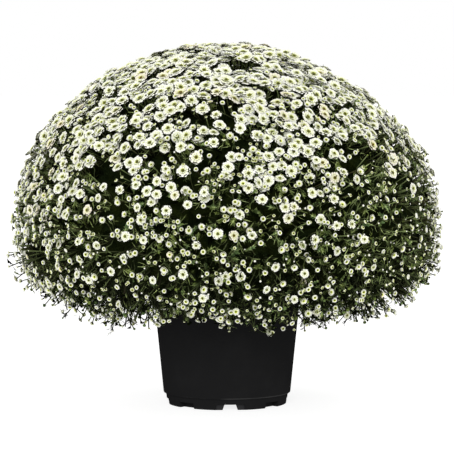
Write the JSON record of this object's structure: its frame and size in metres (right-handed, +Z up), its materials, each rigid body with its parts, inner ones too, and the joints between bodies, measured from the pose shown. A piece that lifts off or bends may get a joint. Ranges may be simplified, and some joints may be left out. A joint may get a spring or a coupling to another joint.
{
  "type": "pot chrysanthemum",
  "caption": "Dome of small white chrysanthemum blooms on fine green foliage, growing in a black plastic nursery pot.",
  "frame": {"origin": "on the ground under the middle of the pot", "axes": "+Z up, -Y towards the viewer of the picture"},
  "size_m": [0.7448, 0.7446, 0.641],
  "materials": {
    "black_plastic": "satin moulded plastic, charcoal black",
    "potting_soil": "dark crumbly peat, dull",
    "bloom_and_foliage": "white petals and yellow-green eyes over dark green leaves, soft matt"
  },
  "bodies": {
    "root": {"pot": "black_plastic", "soil": "potting_soil", "spray_01": "bloom_and_foliage", "spray_02": "bloom_and_foliage", "spray_03": "bloom_and_foliage", "spray_04": "bloom_and_foliage", "spray_05": "bloom_and_foliage", "spray_06": "bloom_and_foliage", "spray_07": "bloom_and_foliage", "spray_08": "bloom_and_foliage", "spray_09": "bloom_and_foliage", "spray_10": "bloom_and_foliage", "spray_11": "bloom_and_foliage", "spray_12": "bloom_and_foliage", "spray_13": "bloom_and_foliage", "spray_14": "bloom_and_foliage", "spray_15": "bloom_and_foliage", "spray_16": "bloom_and_foliage", "spray_17": "bloom_and_foliage", "spray_18": "bloom_and_foliage", "spray_19": "bloom_and_foliage", "spray_20": "bloom_and_foliage", "spray_21": "bloom_and_foliage", "spray_22": "bloom_and_foliage", "spray_23": "bloom_and_foliage", "spray_24": "bloom_and_foliage", "spray_25": "bloom_and_foliage"}
  },
  "joints": []
}
